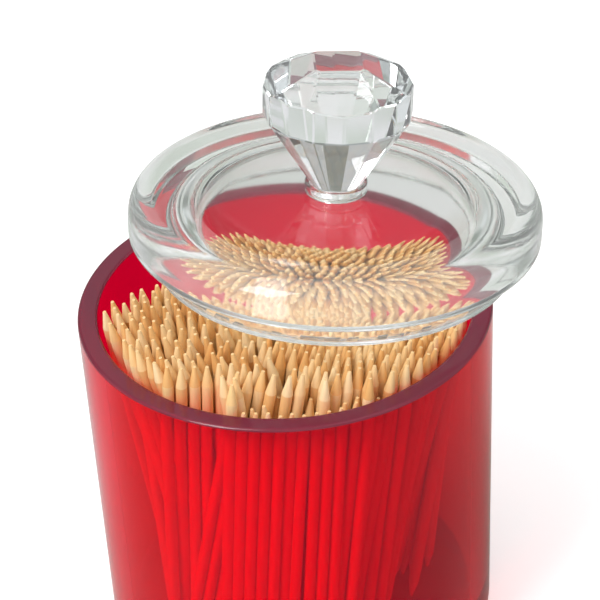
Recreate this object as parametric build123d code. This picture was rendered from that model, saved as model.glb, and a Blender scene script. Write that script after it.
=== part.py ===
"""Toothpick dispenser: a red tumbler full of wooden toothpicks under a clear lid with a cut knob.

The lid has a hollow plug ring that fits the tumbler's mouth. Here it has been put back askew:
its ring lies across the rim, and a few toothpicks that stand proud hold up its near side.

Frame: millimetres, +Z up, origin at the centre of the tumbler's base, -Y is the front.
"""
from build123d import *
import os
from math import cos, pi, radians, sin, tan

import numpy as np

# ---------------------------------------------------------------- driving dimensions
# Tumbler
JAR_HEIGHT = 70.0
MOUTH_RADIUS = 38.0            # outside, at the rim
JAR_DRAFT = 0.5                # degrees, narrower towards the base
JAR_WALL = 3.7
JAR_FLOOR = 4.0
RIM_ROUND = 0.6
BASE_ROUND = 1.2
FLOOR_CORNER_ROUND = 1.5

# Lid, measured down from its flat top
BRIM_OVERHANG = 0.4            # beyond the mouth, when the lid is closed
LID_EDGE_ROUND = 4.0
BRIM_DEPTH = 8.0
BRIM_LOWER_ROUND = 0.8
PLUG_CLEARANCE = 0.3           # between the plug ring and the mouth
PLUG_LENGTH = 5.4              # below the brim
PLUG_WALL = 3.0
PLUG_ROUND = 0.6
PLATE_THICKNESS = 2.6
CEILING_ROUND = 9.5

# How the lid lies
LID_SHIFT = (10.5, 14.7)       # of its axis from the tumbler's axis, at the lid's top
LID_TILT_X = -5.0              # degrees, lowers the back
LID_TILT_Y = 3.5               # degrees, lowers the right
REST_GAP = 0.1                 # between pieces that lie on each other

# Knob and its fixing, measured up from the lid's top
COLLAR_RADIUS = 5.8
COLLAR_HEIGHT = 2.0
COLLAR_EDGE = 0.2
FOOT_RADIUS = 4.7
FOOT_CLEARANCE = 0.3           # between the knob's foot and its collar
ADHESIVE_THICKNESS = 0.3
FOOT_TOP = 1.9
GIRDLE_RADIUS = 13.7
GIRDLE_BOTTOM = 15.8
GIRDLE_TOP = 21.2
TABLE_HEIGHT = 25.9
FACETS = 16
CROWN_FACETS = 4
TABLE_MAIN_RADIUS = 4.4        # from the axis to the table's edge at a main crown facet
TABLE_CORNER_RADIUS = 5.7      # and at a corner facet
CORNER_SLOPE = 0.515
KNOB_TURN = 1.5                # degrees, of a main facet's middle from the front

# Toothpicks
PICK_LENGTH = 65.0
PICK_RADIUS = 1.0
POINT_LENGTH = 4.0
POINT_RADIUS = 0.3
PICK_GAP = 0.13                # kept between neighbours, and to the wall and floor
MOUTH_FILL = 0.641             # part of the mouth's area that toothpicks all over it would take up
LOOSE_PICK_AT = (-17.0, -25.5)  # top end of the toothpick that is next to be picked out
LOOSE_PICK_TRAVEL = 72.0
LOOSE_RIM_CLEARANCE = 0.5      # kept to the rim as the loose toothpick is drawn out
LOOSE_LID_CLEARANCE = 1.5      # and to the lid
LOOSE_STEPS = 30               # places along its way at which that is looked at

# How the toothpicks stand: those at the front stand on the floor, and further back they stand proud
# of it in two steps. Their tops have slid forwards, which leaves the back of the mouth open.
LEANS = (                      # place of a top across the mouth, and its sideways run from the foot
    (-34.0, -14.0),
    (-24.0, -24.0),
    (-12.0, -8.0),
    (-4.0, 12.0),
    (20.0, 11.0),
    (34.0, 12.0),
)
LEAN_AT_BACK = 5.0             # sideways run of the rearmost toothpicks
LEAN_CHANGES_AT = 0.5          # of the mouth's radius from the front, where that begins to tell
LEAN_SPREAD = 2.5              # random part of a run
OPEN_BACK = (                  # place across the mouth, and how far back the tops reach there
    (-34.0, -6.0),
    (-27.0, 0.0),
    (-10.0, 14.0),
    (34.0, 13.0),
)
FORWARD_SHARE = 0.32           # forward slide of a top, as a share of its distance from the front
STEPS = (                      # place of each step from the front, and how far it is above the floor
    (-28.5, 6.5),
    (-20.0, 8.0),
)
STEP_ROUGHNESS = 0.5
SEED = 7

# How overlapping toothpicks are pushed apart
SETTLING_ROUNDS = 800
LOOK_AGAIN = 10                # rounds after which near pairs are looked up afresh
PUSH_SHARE = 0.55              # part of an overlap that is taken out in a round
SPACING_SLACK = 0.03           # room beyond PICK_GAP, for toothpicks still on the move
LATEST_SLACK = 0.02            # how far below PICK_GAP two toothpicks may stay
NEVER_ZERO = 1e-6              # keeps a division from failing

# ---------------------------------------------------------------- derived sizes
LID_RADIUS = MOUTH_RADIUS + BRIM_OVERHANG
PLUG_RADIUS = MOUTH_RADIUS - JAR_WALL - PLUG_CLEARANCE
PLUG_BOTTOM = BRIM_DEPTH + PLUG_LENGTH
CAVITY_RADIUS = PLUG_RADIUS - PLUG_WALL
COLLAR_BORE = FOOT_RADIUS + FOOT_CLEARANCE


def jar_radius(z):
    """Outside radius of the tumbler at a height above its base."""
    return MOUTH_RADIUS - (JAR_HEIGHT - z) * tan(radians(JAR_DRAFT))


def turned(corners):
    """Solid of revolution about Z; each corner is (radius, height, corner rounding)."""
    outline = make_face(Polyline(*[(r, 0, z) for r, z, _ in corners], close=True))
    for r, z, rounding in corners:
        if rounding:
            corner = outline.vertices().sort_by_distance((r, 0, z))[0]
            outline = outline.face().fillet_2d(rounding, [corner])
    return revolve(outline, Axis.Z)


# ---------------------------------------------------------------- tumbler
def make_jar():
    wall = JAR_WALL
    return turned([
        (0, 0, 0),
        (jar_radius(0), 0, BASE_ROUND),
        (MOUTH_RADIUS, JAR_HEIGHT, RIM_ROUND),
        (MOUTH_RADIUS - wall, JAR_HEIGHT, RIM_ROUND),
        (jar_radius(JAR_FLOOR) - wall, JAR_FLOOR, FLOOR_CORNER_ROUND),
        (0, JAR_FLOOR, 0),
    ])


# ---------------------------------------------------------------- lid and knob, in the lid's frame
def make_lid():
    return turned([
        (0, 0, 0),
        (LID_RADIUS, 0, LID_EDGE_ROUND),
        (LID_RADIUS, -BRIM_DEPTH, BRIM_LOWER_ROUND),
        (PLUG_RADIUS, -BRIM_DEPTH, PLUG_ROUND),
        (PLUG_RADIUS, -PLUG_BOTTOM, PLUG_ROUND),
        (CAVITY_RADIUS, -PLUG_BOTTOM, PLUG_ROUND),
        (CAVITY_RADIUS, -PLATE_THICKNESS, CEILING_ROUND),
        (0, -PLATE_THICKNESS, 0),
    ])


def make_collar():
    return turned([
        (COLLAR_BORE, 0, 0),
        (COLLAR_RADIUS, 0, 0),
        (COLLAR_RADIUS, COLLAR_HEIGHT, COLLAR_EDGE),
        (COLLAR_BORE, COLLAR_HEIGHT, COLLAR_EDGE),
    ])


def make_adhesive():
    return extrude(Circle(FOOT_RADIUS), ADHESIVE_THICKNESS)


def facet_cutter(turn, radius, height, slope):
    """Block whose lower face is the plane through (radius, height), falling by slope, facing turn."""
    size = 4 * GIRDLE_RADIUS
    outward = Vector(sin(radians(turn)), -cos(radians(turn)), 0)
    normal = Vector(outward.X * slope, outward.Y * slope, 1)
    point = outward * radius + Vector(0, 0, height)
    block = Box(size, size, size, align=(Align.CENTER, Align.CENTER, Align.MIN))
    return Plane(origin=point, z_dir=normal) * block


def make_knob():
    apothem = GIRDLE_RADIUS * cos(pi / FACETS)
    side_turn = KNOB_TURN + 180 / FACETS
    girdle = RegularPolygon(GIRDLE_RADIUS, FACETS)
    upright = Rot(0, 0, KNOB_TURN - 90) * girdle
    knob = Pos(0, 0, FOOT_TOP) * extrude(upright, TABLE_HEIGHT - FOOT_TOP)
    pavilion_slope = (GIRDLE_BOTTOM - FOOT_TOP) / (apothem - FOOT_RADIUS)
    for side in range(FACETS):
        under = facet_cutter(side_turn + side * 360 / FACETS, apothem, -GIRDLE_BOTTOM, pavilion_slope)
        knob -= mirror(under, Plane.XY)
    main_slope = (TABLE_HEIGHT - GIRDLE_TOP) / (GIRDLE_RADIUS - TABLE_MAIN_RADIUS)
    for side in range(CROWN_FACETS):
        turn = KNOB_TURN + side * 360 / CROWN_FACETS
        knob -= facet_cutter(turn, TABLE_MAIN_RADIUS, TABLE_HEIGHT, main_slope)
        knob -= facet_cutter(turn + 180 / CROWN_FACETS, TABLE_CORNER_RADIUS, TABLE_HEIGHT, CORNER_SLOPE)
    foot = Pos(0, 0, ADHESIVE_THICKNESS) * extrude(Circle(FOOT_RADIUS), FOOT_TOP - ADHESIVE_THICKNESS)
    return (knob + foot).solid()


# ---------------------------------------------------------------- where the lid lies
LID_TURN = Rot(0, LID_TILT_Y, 0) * Rot(LID_TILT_X, 0, 0)


def ring_points():
    """Points all over the plug ring's underside, turned as the lid is, about the lid's top centre."""
    for step in range(360):
        for radius in (CAVITY_RADIUS, (CAVITY_RADIUS + PLUG_RADIUS) / 2, PLUG_RADIUS):
            local = Pos(radius * cos(radians(step)), radius * sin(radians(step)), -PLUG_BOTTOM)
            yield (LID_TURN * local).position


def lid_height():
    """Height of the lid's top centre at which its plug ring rests on the rim."""
    drops = []
    for point in ring_points():
        reach = (Vector(*LID_SHIFT) + Vector(point.X, point.Y)).length
        if MOUTH_RADIUS - JAR_WALL <= reach <= MOUTH_RADIUS:
            drops.append(point.Z)
    return JAR_HEIGHT + REST_GAP - min(drops)


LID_PLACE = Pos(*LID_SHIFT, lid_height()) * LID_TURN


# ---------------------------------------------------------------- toothpicks
def mouth_room(height):
    """Distance from the axis that a toothpick's own axis may reach at a height."""
    return jar_radius(height) - JAR_WALL - PICK_RADIUS - 2 * PICK_GAP


def rearmost(tops):
    """How far back a top may lie, by its place across the mouth."""
    return np.interp(tops[:, 0], *np.transpose(OPEN_BACK))


def spread_tops():
    """Even places for tops all over the open part of the mouth, on a sunflower's spiral."""
    room = mouth_room(JAR_HEIGHT)
    places = round(MOUTH_FILL * (room / PICK_RADIUS) ** 2)
    index = np.arange(places)
    reach = room * np.sqrt((index + 1) / (places + 1))
    turn = index * pi * (3 - 5 ** 0.5)
    tops = np.stack([reach * np.cos(turn), reach * np.sin(turn)], axis=1)
    return tops[tops[:, 1] < rearmost(tops)]


def feet_below(tops, random):
    """Where the feet stand of toothpicks that lean to these tops."""
    from_front = tops[:, 1] + MOUTH_RADIUS
    lean = np.interp(tops[:, 0], *np.transpose(LEANS))
    lean += (LEAN_AT_BACK - lean) * np.clip(from_front / MOUTH_RADIUS - LEAN_CHANGES_AT, 0, 1)
    slide = FORWARD_SHARE * from_front
    return tops + np.stack([-lean, slide], axis=1) + random.normal(0, LEAN_SPREAD, tops.shape)


def step_heights(tops, random):
    """How far above the floor each toothpick's foot is, before it meets the lid."""
    heights = np.zeros(len(tops))
    for place, height in STEPS:
        heights[tops[:, 1] > place] = height
    return heights + np.abs(random.normal(0, STEP_ROUGHNESS, len(tops)))


def ring_level(points):
    """Height at which the top of a toothpick meets the level of the lid's plug ring."""
    on_ring = (LID_PLACE * Pos(0, 0, -PLUG_BOTTOM - REST_GAP - POINT_RADIUS)).position
    up = (LID_TURN * Pos(0, 0, 1)).position
    away = points - (on_ring.X, on_ring.Y)
    return on_ring.Z - (away[:, 0] * up.X + away[:, 1] * up.Y) / up.Z


def with_heights(feet, tops, heights):
    """Ends of the toothpicks' axes in space."""
    run = tops - feet
    rise = np.sqrt(PICK_LENGTH ** 2 - (run ** 2).sum(axis=1))
    tilt = np.sqrt((run ** 2).sum(axis=1)) / PICK_LENGTH
    standing = JAR_FLOOR + PICK_GAP + POINT_RADIUS * tilt + rise
    top_height = np.maximum(standing, np.minimum(standing + heights, ring_level(tops)))
    return np.column_stack([feet, top_height - rise]), np.column_stack([tops, top_height])


def nearest_shares(a, u, b, v):
    """Shares along the lines a+s*u and b+t*v, 0 to 1, at which they come nearest each other."""
    between = a - b
    uu, vv, uv = (u * u).sum(1), (v * v).sum(1), (u * v).sum(1)
    uw, vw = (u * between).sum(1), (v * between).sum(1)
    s = np.clip((uv * vw - vv * uw) / (uu * vv - uv * uv + NEVER_ZERO), 0, 1)
    t = np.clip((uv * s + vw) / vv, 0, 1)
    return np.clip((uv * t - uw) / uu, 0, 1), t


def pair_gaps(low, high, first, second):
    """Distance between the axes of each pair, with the shares and the direction between them."""
    a, u = low[first], high[first] - low[first]
    b, v = low[second], high[second] - low[second]
    s, t = nearest_shares(a, u, b, v)
    apart = a + s[:, None] * u - b - t[:, None] * v
    return np.sqrt((apart ** 2).sum(1)), s, t, apart


def keep_inside(points, heights):
    """Points moved inwards to clear the tumbler's wall."""
    room = mouth_room(heights)
    reach = np.sqrt((points ** 2).sum(1))
    return points * np.minimum(1, room / reach)[:, None]


def keep_forward(tops):
    """Top ends moved forwards out of the part of the mouth that is left open."""
    return np.column_stack([tops[:, 0], np.minimum(tops[:, 1], rearmost(tops))])


def settle(feet, tops, heights):
    """Push overlapping toothpicks apart."""
    spacing = 2 * PICK_RADIUS + PICK_GAP + SPACING_SLACK
    first, second = np.triu_indices(len(feet), 1)
    for turn in range(SETTLING_ROUNDS):
        low, high = with_heights(feet, tops, heights)
        if turn % LOOK_AGAIN == 0:
            gap = pair_gaps(low, high, first, second)[0]
            near = gap < 2 * spacing
            pairs = first[near], second[near]
        gap, s, t, apart = pair_gaps(low, high, *pairs)
        tight = gap < spacing
        i, j = pairs[0][tight], pairs[1][tight]
        gap, s, t, apart = gap[tight, None], s[tight, None], t[tight, None], apart[tight]
        push = apart[:, :2] / np.maximum(gap, NEVER_ZERO) * (spacing - gap) / 2
        lever_i, lever_j = (1 - s) ** 2 + s ** 2, (1 - t) ** 2 + t ** 2
        moves = np.zeros_like(feet), np.zeros_like(tops)
        np.add.at(moves[0], i, push * (1 - s) / lever_i)
        np.add.at(moves[1], i, push * s / lever_i)
        np.add.at(moves[0], j, -push * (1 - t) / lever_j)
        np.add.at(moves[1], j, -push * t / lever_j)
        feet = keep_inside(feet + PUSH_SHARE * moves[0], low[:, 2])
        tops = keep_inside(keep_forward(tops + PUSH_SHARE * moves[1]), high[:, 2])
    return feet, tops


def uncrowded(low, high):
    """Which toothpicks to keep so that no two come too near each other."""
    first, second = np.triu_indices(len(low), 1)
    gap = pair_gaps(low, high, first, second)[0]
    kept = np.ones(len(low), bool)
    crowded = gap < 2 * PICK_RADIUS + PICK_GAP - LATEST_SLACK
    for i, j in zip(first[crowded], second[crowded]):
        if kept[i] and kept[j]:
            kept[j] = False
    return kept


def arranged(random):
    """Ends of the toothpicks' axes once each has its own room."""
    tops = spread_tops()
    heights = step_heights(tops, random)
    feet, tops = settle(feet_below(tops, random), tops, heights)
    low, high = with_heights(feet, tops, heights)
    kept = uncrowded(low, high)
    return low[kept], high[kept]


def has_clear_way(low, high):
    """Whether a toothpick can be drawn out along its axis past the rim and the lid."""
    axis = (high - low) / PICK_LENGTH
    at_rim = low + axis * (JAR_HEIGHT - low[2]) / axis[2]
    if np.hypot(at_rim[0], at_rim[1]) + PICK_RADIUS + LOOSE_RIM_CLEARANCE > MOUTH_RADIUS - JAR_WALL:
        return False
    way_up = at_rim + np.outer(np.linspace(0, 1, LOOSE_STEPS), axis * LOOSE_PICK_TRAVEL)
    reach = np.hypot(way_up[:, 0] - LID_SHIFT[0], way_up[:, 1] - LID_SHIFT[1])
    return reach.min() > LID_RADIUS + PICK_RADIUS + LOOSE_LID_CLEARANCE


def choose_loose(low, high):
    """Number of the toothpick nearest LOOSE_PICK_AT that can be drawn straight out."""
    away = np.hypot(high[:, 0] - LOOSE_PICK_AT[0], high[:, 1] - LOOSE_PICK_AT[1])
    for number in np.argsort(away):
        if has_clear_way(low[number], high[number]):
            return number
    return int(np.argmin(away))


def clear_of_way(low, high, loose):
    """Which toothpicks, other than the loose one, keep clear of it all the way out."""
    number = np.arange(len(low))
    long_high = high.copy()
    long_high[loose] += (high[loose] - low[loose]) * LOOSE_PICK_TRAVEL / PICK_LENGTH
    gap = pair_gaps(low, long_high, number, np.full(len(low), loose))[0]
    return (gap > 2 * PICK_RADIUS + PICK_GAP - LATEST_SLACK) & (number != loose)


def make_pick():
    """One toothpick, pointed at both ends, standing on the origin."""
    return turned([
        (0, 0, 0),
        (POINT_RADIUS, 0, 0),
        (PICK_RADIUS, POINT_LENGTH, 0),
        (PICK_RADIUS, PICK_LENGTH - POINT_LENGTH, 0),
        (POINT_RADIUS, PICK_LENGTH, 0),
        (0, PICK_LENGTH, 0),
    ])


def placed_pick(pick, foot, top):
    return pick.moved(Plane(origin=tuple(foot), z_dir=tuple(top - foot)).location)


def group_name(top):
    """Which group a toothpick belongs to, by where its top is."""
    first_step, second_step = [place for place, _ in STEPS]
    if top[1] < first_step:
        return "front_toothpicks"
    if abs(top[0]) > MOUTH_RADIUS / 2:
        return "right_toothpicks" if top[0] > 0 else "left_toothpicks"
    if top[1] < second_step:
        return "middle_toothpicks"
    return "heaped_toothpicks" if top[1] < 0 else "back_toothpicks"


def make_toothpicks():
    """All toothpicks as solids, by group."""
    low, high = arranged(np.random.default_rng(SEED))
    loose = choose_loose(low, high)
    pick = make_pick().solid()
    groups = {"loose_toothpick": [placed_pick(pick, low[loose], high[loose])]}
    others = clear_of_way(low, high, loose)
    for foot, top in zip(low[others], high[others]):
        groups.setdefault(group_name(top), []).append(placed_pick(pick, foot, top))
    axis = (high[loose] - low[loose]) / PICK_LENGTH
    print("loose_toothpick axis", axis.round(5).tolist(), "foot", low[loose].round(3).tolist(),
          "clear", has_clear_way(low[loose], high[loose]))
    return groups


# ---------------------------------------------------------------- write the pieces
os.makedirs("parts", exist_ok=True)
export_step(make_jar(), "parts/jar.step")
for name, piece in (
    ("lid", make_lid()),
    ("knob_collar", make_collar()),
    ("knob_adhesive", make_adhesive()),
    ("cut_knob", make_knob()),
):
    export_step(LID_PLACE * piece, f"parts/{name}.step")
for name, picks in make_toothpicks().items():
    export_step(Compound(children=picks), f"parts/{name}.step")
    print(name, len(picks))
print("lid top centre height", round(lid_height(), 3))
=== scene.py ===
"""Looks of the toothpick dispenser: red tumbler, clear lid with a cut knob, wooden toothpicks."""
from math import cos, pi, radians, sin, tan

import bmesh
import bpy
from mathutils import Matrix, Vector


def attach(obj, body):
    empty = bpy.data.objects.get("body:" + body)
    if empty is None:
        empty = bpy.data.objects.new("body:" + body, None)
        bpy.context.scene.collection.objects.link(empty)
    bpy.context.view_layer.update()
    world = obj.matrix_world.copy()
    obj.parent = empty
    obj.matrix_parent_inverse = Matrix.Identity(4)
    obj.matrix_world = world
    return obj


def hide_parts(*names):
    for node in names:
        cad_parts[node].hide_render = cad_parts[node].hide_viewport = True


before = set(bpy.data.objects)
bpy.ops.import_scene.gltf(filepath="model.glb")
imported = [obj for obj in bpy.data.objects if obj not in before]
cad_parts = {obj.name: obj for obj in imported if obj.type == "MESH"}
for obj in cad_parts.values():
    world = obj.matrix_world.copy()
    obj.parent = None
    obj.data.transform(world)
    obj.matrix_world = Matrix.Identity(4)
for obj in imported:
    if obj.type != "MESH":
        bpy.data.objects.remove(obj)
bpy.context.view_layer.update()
scene = bpy.context.scene
MM = 0.001

# ---------------------------------------------------------------- sizes, in millimetres
JAR_HEIGHT = 70.0
MOUTH_RADIUS = 38.0
JAR_DRAFT = 0.5
JAR_WALL = 3.7
JAR_FLOOR = 4.0
RIM_ROUND = 0.6
BASE_ROUND = 1.2
FLOOR_CORNER_ROUND = 1.5

LID_RADIUS = 38.4
LID_EDGE_ROUND = 4.0
BRIM_DEPTH = 8.0
BRIM_LOWER_ROUND = 0.8
PLUG_CLEARANCE = 0.3
PLUG_LENGTH = 5.4
PLUG_WALL = 3.0
PLUG_ROUND = 0.6
PLATE_THICKNESS = 2.6
CEILING_ROUND = 9.5
LID_TOP_CENTRE = (10.5, 14.7, 84.106)
LID_TILT_X = -5.0
LID_TILT_Y = 3.5

COLLAR_RADIUS = 5.8
COLLAR_HEIGHT = 2.0
COLLAR_EDGE = 0.2
FOOT_RADIUS = 4.7
FOOT_CLEARANCE = 0.3
ADHESIVE_THICKNESS = 0.3
FOOT_TOP = 1.9
GIRDLE_RADIUS = 13.7
GIRDLE_BOTTOM = 15.8
GIRDLE_TOP = 21.2
TABLE_HEIGHT = 25.9
FACETS = 16
CROWN_FACETS = 4
TABLE_MAIN_RADIUS = 4.4
TABLE_CORNER_RADIUS = 5.7
CORNER_SLOPE = 0.515
KNOB_TURN = 1.5
FACET_EDGE = 0.22

HOLLOW_ROUGHNESS = 0.08
# Share of the brim that stays clear; the rest is painted light, a lit white diffuse that brightens its dark
# streaks.
BRIM_PAINTED_LIGHT_CLEARNESS = 0.91

# Upward part of the normal from which a face belongs to the rim, and from which it is level.
RIM_FACES_UP = 0.25
LEVEL_FACE = 0.99
# Share of the plate's thickness below which a face belongs to the hollow's ceiling.
CEILING_FROM = 0.99

TURNED_STEPS = 192
ROUNDING_STEPS = 6
# Distance of the support points beside a rounding, as a share of its radius.
SUPPORT_REACH = 0.12
# Distances in metres at which points count as one.
TURNED_MERGE = 1e-7
CUT_MERGE = 1e-8
KNOB_MERGE = 1e-6

# ---------------------------------------------------------------- light and camera, in metres and watts
FLOOR_HALF_WIDTH = 3
FLOOR_WHITE = (0.9, 0.9, 0.9, 1)
FLOOR_GLOW = 0.4
LIGHT_STRENGTH = 0.75
SHOWN_STRENGTH = 1
LAMP_WIDTH = 0.25
LAMP_LENGTH = 0.5
LAMP_POWER = 3.2
LAMP_PLACE = (-0.35, -0.35, 0.62)
LAMP_AIM = (0, 0, 0.06)
FOCAL_PX = 2331.8
FRAME_PX = 600
SENSOR_WIDTH_MM = 36
CAMERA_PITCH = 35.1737
CAMERA_ROLL = -3.1477
# Middle of the mouth as the camera has it: to the right, down and ahead, in millimetres.
MOUTH_FROM_CAMERA = (-2.7778, 0.2031, 426.2996)
NEAR_CLIP = 0.01

# ---------------------------------------------------------------- sizes that follow from these
PLUG_RADIUS = MOUTH_RADIUS - JAR_WALL - PLUG_CLEARANCE
PLUG_BOTTOM = BRIM_DEPTH + PLUG_LENGTH
CAVITY_RADIUS = PLUG_RADIUS - PLUG_WALL
LID_MATRIX = (Matrix.Translation(Vector(LID_TOP_CENTRE) * MM)
              @ Matrix.Rotation(radians(LID_TILT_Y), 4, "Y")
              @ Matrix.Rotation(radians(LID_TILT_X), 4, "X"))


def jar_radius(z):
    return MOUTH_RADIUS - (JAR_HEIGHT - z) * tan(radians(JAR_DRAFT))


# ---------------------------------------------------------------- turned pieces
def rounded_outline(corners):
    """Points of an outline in the XZ plane, with each corner (radius, height, rounding) rounded."""
    points = []
    count = len(corners)
    for number, (r, z, rounding) in enumerate(corners):
        corner = Vector((r, 0, z))
        if not rounding:
            points.append(corner)
            continue
        before_r, before_z, _ = corners[number - 1]
        before = (Vector((before_r, 0, before_z)) - corner).normalized()
        after_r, after_z, _ = corners[(number + 1) % count]
        after = (Vector((after_r, 0, after_z)) - corner).normalized()
        half = before.angle(after) / 2
        reach = rounding / tan(half)
        centre = corner + (before + after).normalized() * rounding / sin(half)
        start = corner + before * reach - centre
        sweep = pi - 2 * half
        turn = start.cross(corner + after * reach - centre).y
        points.append(centre + start + before * rounding * SUPPORT_REACH)
        for step in range(ROUNDING_STEPS + 1):
            angle = sweep * step / ROUNDING_STEPS * (1 if turn > 0 else -1)
            points.append(centre + Matrix.Rotation(angle, 3, "Y") @ start)
        points.append(corner + after * reach + after * rounding * SUPPORT_REACH)
    return points


def turned(name, corners, matrix=Matrix.Identity(4), closed=False):
    """Piece of revolution about Z; an outline that starts and ends on the axis is open there."""
    bm = bmesh.new()
    verts = [bm.verts.new(point * MM) for point in rounded_outline(corners)]
    edges = [bm.edges.new(pair) for pair in zip(verts, verts[1:])]
    if closed:
        edges.append(bm.edges.new((verts[-1], verts[0])))
    bmesh.ops.spin(bm, geom=verts + edges, cent=(0, 0, 0), axis=(0, 0, 1), dvec=(0, 0, 0),
                   angle=2 * pi, steps=TURNED_STEPS, use_merge=True)
    bmesh.ops.remove_doubles(bm, verts=bm.verts, dist=TURNED_MERGE)
    return finished(name, bm, matrix, smooth=True)


def finished(name, bm, matrix, smooth):
    """Object at the origin with its place in its mesh."""
    bmesh.ops.transform(bm, matrix=matrix, verts=bm.verts)
    bmesh.ops.recalc_face_normals(bm, faces=bm.faces)
    mesh = bpy.data.meshes.new(name)
    bm.to_mesh(mesh)
    bm.free()
    mesh.shade_smooth() if smooth else mesh.shade_flat()
    piece = bpy.data.objects.new(name, mesh)
    scene.collection.objects.link(piece)
    return piece


def make_jar():
    return turned("red_tumbler", [
        (0, 0, 0),
        (jar_radius(0), 0, BASE_ROUND),
        (MOUTH_RADIUS, JAR_HEIGHT, RIM_ROUND),
        (MOUTH_RADIUS - JAR_WALL, JAR_HEIGHT, RIM_ROUND),
        (jar_radius(JAR_FLOOR) - JAR_WALL, JAR_FLOOR, FLOOR_CORNER_ROUND),
        (0, JAR_FLOOR, 0),
    ])


def make_lid():
    return turned("clear_lid", [
        (0, 0, 0),
        (LID_RADIUS, 0, LID_EDGE_ROUND),
        (LID_RADIUS, -BRIM_DEPTH, BRIM_LOWER_ROUND),
        (PLUG_RADIUS, -BRIM_DEPTH, PLUG_ROUND),
        (PLUG_RADIUS, -PLUG_BOTTOM, PLUG_ROUND),
        (CAVITY_RADIUS, -PLUG_BOTTOM, PLUG_ROUND),
        (CAVITY_RADIUS, -PLATE_THICKNESS, CEILING_ROUND),
        (0, -PLATE_THICKNESS, 0),
    ], LID_MATRIX)


def make_collar():
    bore = FOOT_RADIUS + FOOT_CLEARANCE
    return turned("clear_collar", [
        (bore, 0, COLLAR_EDGE),
        (COLLAR_RADIUS, 0, COLLAR_EDGE),
        (COLLAR_RADIUS, COLLAR_HEIGHT, COLLAR_EDGE),
        (bore, COLLAR_HEIGHT, COLLAR_EDGE),
    ], LID_MATRIX, closed=True)


# ---------------------------------------------------------------- cut knob
def cut_facet(bm, turn, radius, height, slope):
    """Cut off what lies outside the plane through (radius, height) that falls by slope towards turn."""
    outward = Vector((sin(radians(turn)), -cos(radians(turn)), 0))
    point = (outward * radius + Vector((0, 0, height))) * MM
    normal = outward * slope + Vector((0, 0, 1))
    cut = bmesh.ops.bisect_plane(bm, geom=bm.verts[:] + bm.edges[:] + bm.faces[:], dist=CUT_MERGE,
                                 plane_co=point, plane_no=normal, clear_outer=True)
    edges = [part for part in cut["geom_cut"] if isinstance(part, bmesh.types.BMEdge)]
    bmesh.ops.edgeloop_fill(bm, edges=edges)


def make_knob():
    bm = bmesh.new()
    side = bmesh.ops.create_cone(bm, cap_ends=True, segments=FACETS,
                                 depth=(GIRDLE_BOTTOM - FOOT_TOP) * MM,
                                 radius1=FOOT_RADIUS / cos(pi / FACETS) * MM,
                                 radius2=GIRDLE_RADIUS * MM)
    bmesh.ops.translate(bm, verts=side["verts"], vec=(0, 0, (GIRDLE_BOTTOM + FOOT_TOP) / 2 * MM))
    bmesh.ops.rotate(bm, verts=bm.verts, cent=(0, 0, 0),
                     matrix=Matrix.Rotation(radians(KNOB_TURN), 3, "Z"))
    for face in [f for f in bm.faces if abs(f.normal.z) > LEVEL_FACE]:
        rise = TABLE_HEIGHT - GIRDLE_BOTTOM if face.normal.z > 0 else ADHESIVE_THICKNESS - FOOT_TOP
        pulled = bmesh.ops.extrude_face_region(bm, geom=[face])
        verts = [part for part in pulled["geom"] if isinstance(part, bmesh.types.BMVert)]
        bmesh.ops.translate(bm, verts=verts, vec=(0, 0, rise * MM))
        bmesh.ops.delete(bm, geom=[face], context="FACES_ONLY")
    main_slope = (TABLE_HEIGHT - GIRDLE_TOP) / (GIRDLE_RADIUS - TABLE_MAIN_RADIUS)
    for number in range(CROWN_FACETS):
        turn = KNOB_TURN + number * 360 / CROWN_FACETS
        cut_facet(bm, turn, TABLE_MAIN_RADIUS, TABLE_HEIGHT, main_slope)
        cut_facet(bm, turn + 180 / CROWN_FACETS, TABLE_CORNER_RADIUS, TABLE_HEIGHT, CORNER_SLOPE)
    bmesh.ops.remove_doubles(bm, verts=bm.verts, dist=KNOB_MERGE)
    bmesh.ops.bevel(bm, geom=bm.edges[:], offset=FACET_EDGE * MM, segments=1, profile=0.5,
                    affect="EDGES", material=-1)
    return finished("faceted_knob", bm, LID_MATRIX, smooth=False)


# ---------------------------------------------------------------- materials
def new_material(name):
    material = bpy.data.materials.new(name)
    material.use_nodes = True
    return material, material.node_tree.nodes, material.node_tree.links


def colour_ramp(nodes, *stops):
    """Node that goes through the stops, each a position and a colour, in rising order."""
    node = nodes.new("ShaderNodeValToRGB")
    elements = node.color_ramp.elements
    for number, (position, colour) in enumerate((stops[0], stops[-1])):
        elements[number].position = position
        elements[number].color = (*colour, 1)
    for position, colour in stops[1:-1]:
        elements.new(position).color = (*colour, 1)
    return node


def multiplied(nodes, links, factor, first, second):
    """First colour multiplied by the second, as far as the factor says."""
    mix = nodes.new("ShaderNodeMix")
    mix.data_type = "RGBA"
    mix.blend_type = "MULTIPLY"
    mix.inputs["Factor"].default_value = factor
    links.new(first, mix.inputs["A"])
    links.new(second, mix.inputs["B"])
    return mix.outputs["Result"]


def ray_is(nodes, links, *kinds):
    """1 for rays of any of the named kinds, and 0 for the others."""
    path = nodes.new("ShaderNodeLightPath")
    total = path.outputs[kinds[0]]
    for kind in kinds[1:]:
        largest = nodes.new("ShaderNodeMath")
        largest.operation = "MAXIMUM"
        links.new(total, largest.inputs[0])
        links.new(path.outputs[kind], largest.inputs[1])
        total = largest.outputs[0]
    return total


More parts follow.
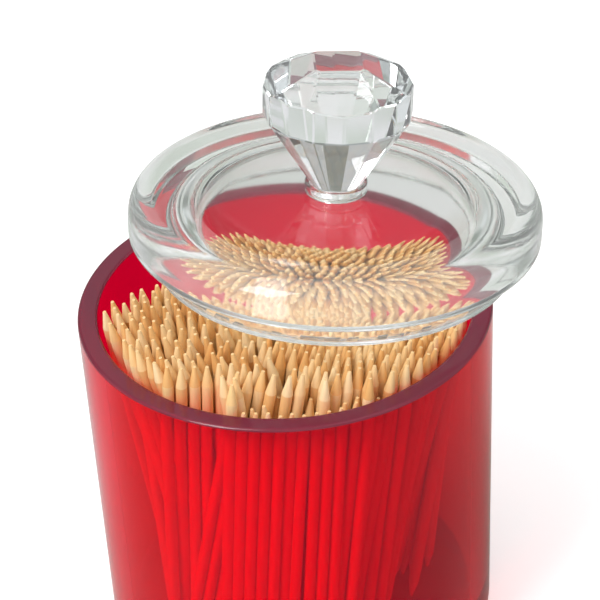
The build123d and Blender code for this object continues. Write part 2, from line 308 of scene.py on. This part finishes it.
def clear_material(name, ior, roughness, tint, absorption, density, shadow, clearness=1.0):
    """Solid clear material that absorbs light on its way, and whose shadow has a colour of its own."""
    material, nodes, links = new_material(name)
    shader = nodes["Principled BSDF"]
    shader.inputs["Base Color"].default_value = (*tint, 1)
    shader.inputs["Roughness"].default_value = roughness
    shader.inputs["IOR"].default_value = ior
    shader.inputs["Transmission Weight"].default_value = clearness
    output = nodes["Material Output"]
    volume = nodes.new("ShaderNodeVolumeAbsorption")
    volume.inputs["Color"].default_value = (*absorption, 1)
    volume.inputs["Density"].default_value = density
    links.new(volume.outputs["Volume"], output.inputs["Volume"])
    through = nodes.new("ShaderNodeBsdfTransparent")
    through.inputs["Color"].default_value = (*shadow, 1)
    mix = nodes.new("ShaderNodeMixShader")
    links.new(ray_is(nodes, links, "Is Shadow Ray"), mix.inputs["Fac"])
    links.new(shader.outputs["BSDF"], mix.inputs[1])
    links.new(through.outputs["BSDF"], mix.inputs[2])
    links.new(mix.outputs["Shader"], output.inputs["Surface"])
    return material


def wood_material():
    """Pale wood: each toothpick its own shade, with fine grain along it."""
    material, nodes, links = new_material("toothpick_wood")
    shader = nodes["Principled BSDF"]
    shader.inputs["Roughness"].default_value = 0.62
    geometry = nodes.new("ShaderNodeNewGeometry")
    shades = colour_ramp(nodes, (0.0, (0.84, 0.46, 0.16)), (0.4, (0.93, 0.61, 0.27)),
                         (1.0, (0.98, 0.76, 0.44)))
    links.new(geometry.outputs["Random Per Island"], shades.inputs["Fac"])
    place = nodes.new("ShaderNodeTexCoord")
    stretch = nodes.new("ShaderNodeMapping")
    stretch.inputs["Scale"].default_value = (1, 1, 0.06)
    grain = nodes.new("ShaderNodeTexNoise")
    grain.inputs["Scale"].default_value = 1900
    grain.inputs["Detail"].default_value = 4
    links.new(place.outputs["Object"], stretch.inputs["Vector"])
    links.new(stretch.outputs["Vector"], grain.inputs["Vector"])
    streaks = nodes.new("ShaderNodeMapRange")
    streaks.inputs["To Min"].default_value = 0.80
    streaks.inputs["To Max"].default_value = 1.15
    links.new(grain.outputs["Fac"], streaks.inputs["Value"])
    tint = multiplied(nodes, links, 0.8, shades.outputs["Color"], streaks.outputs["Result"])
    links.new(tint, shader.inputs["Base Color"])
    bump = nodes.new("ShaderNodeBump")
    bump.inputs["Strength"].default_value = 0.25
    bump.inputs["Distance"].default_value = 0.00008
    links.new(grain.outputs["Fac"], bump.inputs["Height"])
    links.new(bump.outputs["Normal"], shader.inputs["Normal"])
    return material


def rim_painted_shade_material():
    """Top of the red wall in painted shade: a dark colour that stands in for the light lost in the depth of
    colour below it.
    """
    material, nodes, _ = new_material("painted_rim_shade")
    shader = nodes["Principled BSDF"]
    # painted shade: dark base colour standing in for the light lost in the wall's depth
    shader.inputs["Base Color"].default_value = (0.20, 0.02, 0.05, 1)
    shader.inputs["Roughness"].default_value = 0.12
    shader.inputs["IOR"].default_value = 1.49
    shader.inputs["Transmission Weight"].default_value = 0.35
    return material


def give_rim_painted_shade(tumbler):
    """Gives the flat and rounded top of the tumbler's wall its painted shade."""
    tumbler.data.materials.append(rim_painted_shade_material())
    for face in tumbler.data.polygons:
        if face.center.z > (JAR_HEIGHT - RIM_ROUND) * MM and face.normal.z > RIM_FACES_UP:
            face.material_index = 1


def mark_faces(piece, name, chosen):
    """Face attribute that is 1 where chosen says so of a face's reach and height in the lid's frame."""
    mark = piece.data.attributes.new(name, "FLOAT", "FACE")
    from_lid = LID_MATRIX.inverted()
    for face in piece.data.polygons:
        middle = from_lid @ face.center / MM
        mark.data[face.index].value = chosen(middle.to_2d().length, middle.z)


def vary(material, name, socket, plain, marked):
    """Lets a number of the material's shader go from plain to marked where the face attribute is 1."""
    nodes, links = material.node_tree.nodes, material.node_tree.links
    where = nodes.new("ShaderNodeAttribute")
    where.attribute_name = name
    value = nodes.new("ShaderNodeMapRange")
    value.inputs["To Min"].default_value = plain
    value.inputs["To Max"].default_value = marked
    links.new(where.outputs["Fac"], value.inputs["Value"])
    links.new(value.outputs["Result"], nodes["Principled BSDF"].inputs[socket])


def roughen_hollow_and_paint_brim_light(lid, material):
    """The hollow is less polished than the outside, and the thick brim and ring get painted light: a little
    lit white diffuse that brightens streaks left dark there.
    """
    mark_faces(lid, "hollow", lambda reach, z: (reach < CAVITY_RADIUS + PLUG_ROUND
                                                and z < -PLATE_THICKNESS * CEILING_FROM))
    vary(material, "hollow", "Roughness", 0, HOLLOW_ROUGHNESS)
    # painted light: the thick brim and ring take a little lit white diffuse
    mark_faces(lid, "thick", lambda reach, z: reach > CAVITY_RADIUS - CEILING_ROUND / 2)
    vary(material, "thick", "Transmission Weight", 1, BRIM_PAINTED_LIGHT_CLEARNESS)


def adhesive_material():
    material, nodes, _ = new_material("cured_adhesive")
    shader = nodes["Principled BSDF"]
    shader.inputs["Base Color"].default_value = (0.86, 0.88, 0.86, 1)
    shader.inputs["Roughness"].default_value = 0.35
    shader.inputs["Transmission Weight"].default_value = 0.5
    return material


# ---------------------------------------------------------------- floor, light and camera
def make_floor():
    """Floor that glows a little to the camera, and that glass and reflections show with painted shade,
    greyer and in patches.
    """
    bm = bmesh.new()
    bmesh.ops.create_grid(bm, x_segments=1, y_segments=1, size=FLOOR_HALF_WIDTH)
    floor = finished("pale_floor", bm, Matrix.Identity(4), smooth=False)
    material, nodes, links = new_material("white_floor")
    shader = nodes["Principled BSDF"]
    shader.inputs["Roughness"].default_value = 0.9
    shader.inputs["Specular IOR Level"].default_value = 0.1
    paint = nodes.new("ShaderNodeMix")
    paint.data_type = "RGBA"
    paint.inputs["A"].default_value = FLOOR_WHITE
    place = nodes.new("ShaderNodeTexCoord")
    patches = nodes.new("ShaderNodeTexNoise")
    patches.inputs["Scale"].default_value = 7
    patches.inputs["Detail"].default_value = 1
    links.new(place.outputs["Object"], patches.inputs["Vector"])
    # painted shade: the floor turns greyer, in patches, only as glass and reflections see it
    painted_shade_greys = colour_ramp(nodes, (0.38, (0.56, 0.62, 0.55)), (0.58, (0.84, 0.84, 0.85)))
    links.new(patches.outputs["Fac"], painted_shade_greys.inputs["Fac"])
    links.new(painted_shade_greys.outputs["Color"], paint.inputs["B"])
    links.new(ray_is(nodes, links, "Is Glossy Ray", "Is Transmission Ray"), paint.inputs["Factor"])
    links.new(paint.outputs["Result"], shader.inputs["Base Color"])
    glow = nodes.new("ShaderNodeEmission")
    both = nodes.new("ShaderNodeAddShader")
    scale = nodes.new("ShaderNodeMath")
    scale.operation = "MULTIPLY"
    scale.inputs[1].default_value = FLOOR_GLOW
    links.new(ray_is(nodes, links, "Is Camera Ray"), scale.inputs[0])
    links.new(scale.outputs[0], glow.inputs["Strength"])
    links.new(shader.outputs["BSDF"], both.inputs[0])
    links.new(glow.outputs["Emission"], both.inputs[1])
    links.new(both.outputs["Shader"], nodes["Material Output"].inputs["Surface"])
    floor.data.materials.append(material)


def tent_shade(nodes, links):
    """White tent as it shows in glass: bright above, greyer at its sides and back, and uneven all round."""
    place = nodes.new("ShaderNodeTexCoord")
    split = nodes.new("ShaderNodeSeparateXYZ")
    links.new(place.outputs["Generated"], split.inputs["Vector"])
    shade = colour_ramp(nodes, (0.0, (0.55, 0.57, 0.55)), (0.3, (0.58, 0.61, 0.59)),
                        (0.6, (0.72, 0.75, 0.74)), (1.0, (1, 1, 1)))
    links.new(split.outputs["Z"], shade.inputs["Fac"])
    back = nodes.new("ShaderNodeMapRange")
    back.interpolation_type = "SMOOTHSTEP"
    back.inputs["From Min"].default_value = 0.55
    back.inputs["From Max"].default_value = 0.9
    back.inputs["To Min"].default_value = 1
    back.inputs["To Max"].default_value = 0.55
    links.new(split.outputs["Y"], back.inputs["Value"])
    folds = nodes.new("ShaderNodeTexNoise")
    folds.inputs["Scale"].default_value = 2.6
    folds.inputs["Detail"].default_value = 1
    links.new(place.outputs["Generated"], folds.inputs["Vector"])
    uneven = colour_ramp(nodes, (0.40, (0.42, 0.47, 0.42)), (0.60, (1.35, 1.36, 1.42)))
    links.new(folds.outputs["Fac"], uneven.inputs["Fac"])
    darker = uneven.outputs["Color"]
    for layer in (shade.outputs["Color"], back.outputs["Result"]):
        darker = multiplied(nodes, links, 1, darker, layer)
    white = nodes.new("ShaderNodeMix")
    white.data_type = "RGBA"
    white.inputs["B"].default_value = (1, 1, 1, 1)
    links.new(ray_is(nodes, links, "Is Camera Ray"), white.inputs["Factor"])
    links.new(darker, white.inputs["A"])
    return white.outputs["Result"]


def make_light():
    world = bpy.data.worlds.new("white_tent")
    scene.world = world
    world.use_nodes = True
    nodes, links = world.node_tree.nodes, world.node_tree.links
    lit = nodes["Background"]
    lit.inputs["Color"].default_value = (1, 1, 1, 1)
    lit.inputs["Strength"].default_value = LIGHT_STRENGTH
    shown = nodes.new("ShaderNodeBackground")
    shown.inputs["Strength"].default_value = SHOWN_STRENGTH
    links.new(tent_shade(nodes, links), shown.inputs["Color"])
    mix = nodes.new("ShaderNodeMixShader")
    seen = ray_is(nodes, links, "Is Camera Ray", "Is Glossy Ray", "Is Transmission Ray")
    links.new(seen, mix.inputs["Fac"])
    links.new(lit.outputs["Background"], mix.inputs[1])
    links.new(shown.outputs["Background"], mix.inputs[2])
    links.new(mix.outputs["Shader"], nodes["World Output"].inputs["Surface"])
    lamp = bpy.data.lights.new("window_lamp", "AREA")
    lamp.shape = "RECTANGLE"
    lamp.size = LAMP_WIDTH
    lamp.size_y = LAMP_LENGTH
    lamp.energy = LAMP_POWER
    holder = bpy.data.objects.new("window_lamp", lamp)
    holder.location = LAMP_PLACE
    aim = Vector(LAMP_AIM) - holder.location
    holder.rotation_euler = aim.to_track_quat("-Z", "Y").to_euler()
    scene.collection.objects.link(holder)


def make_camera():
    """Camera placed by where it has the middle of the tumbler's mouth."""
    pitch, roll = radians(CAMERA_PITCH), radians(CAMERA_ROLL)
    mouth_seen = Vector(MOUTH_FROM_CAMERA) * MM
    turn = Matrix.Rotation(roll, 3, "Z")
    right = turn @ Vector((1, 0, 0))
    down = turn @ Vector((0, -sin(pitch), cos(pitch)))
    ahead = -(turn @ Vector((0, cos(pitch), sin(pitch))))
    to_camera = Matrix((right, down, ahead)).transposed()
    flip = Matrix(((1, 0, 0), (0, -1, 0), (0, 0, -1)))
    place = Vector((0, 0, JAR_HEIGHT * MM)) - to_camera.transposed() @ mouth_seen
    data = bpy.data.cameras.new("camera")
    data.sensor_width = SENSOR_WIDTH_MM
    data.lens = FOCAL_PX / FRAME_PX * SENSOR_WIDTH_MM
    data.clip_start = NEAR_CLIP
    camera = bpy.data.objects.new("camera", data)
    camera.matrix_world = Matrix.Translation(place) @ (flip @ to_camera).transposed().to_4x4()
    scene.collection.objects.link(camera)
    scene.camera = camera


# ---------------------------------------------------------------- the whole
# painted light: clearness 0.9 leaves a lit red diffuse that brightens the inside of the tumbler where little
# light gets through
red_acrylic = clear_material("red_acrylic", 1.18, 0.015, (0.88, 0.001, 0.06), (0.99, 0.3, 0.5), 200,
                             (0.99, 0.15, 0.3), clearness=0.9)
clear_acrylic = clear_material("clear_acrylic", 1.49, 0.0, (0.98, 0.99, 0.98), (0.90, 0.95, 0.92), 15,
                               (0.99, 0.995, 0.99))
# painted light: clearness 0.95 leaves a little lit white diffuse that fills the spots left dark by many
# inner reflections
cut_crystal = clear_material("cut_crystal", 1.54, 0.0, (0.985, 0.99, 0.995), (0.90, 0.93, 0.94), 12,
                             (0.985, 0.99, 0.99), clearness=0.95)
toothpick_wood = wood_material()

for node, body, slot, make, material in (
    ("jar", "tumbler", "red_acrylic", make_jar, red_acrylic),
    ("lid", "lid", "clear_acrylic", make_lid, clear_acrylic),
    ("knob_collar", "lid", "clear_collar", make_collar, clear_acrylic),
    ("cut_knob", "lid", "cut_crystal", make_knob, cut_crystal),
):
    piece = make()
    piece.data.materials.append(material)
    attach(piece, body)
    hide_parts(node)
give_rim_painted_shade(bpy.data.objects["red_tumbler"])
roughen_hollow_and_paint_brim_light(bpy.data.objects["clear_lid"], clear_acrylic)

for node, material in (("knob_adhesive", adhesive_material()),
                       *[(name, toothpick_wood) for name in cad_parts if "toothpick" in name]):
    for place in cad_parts[node].material_slots:
        place.material = material

make_floor()
make_light()
make_camera()
scene.view_settings.view_transform = "Standard"
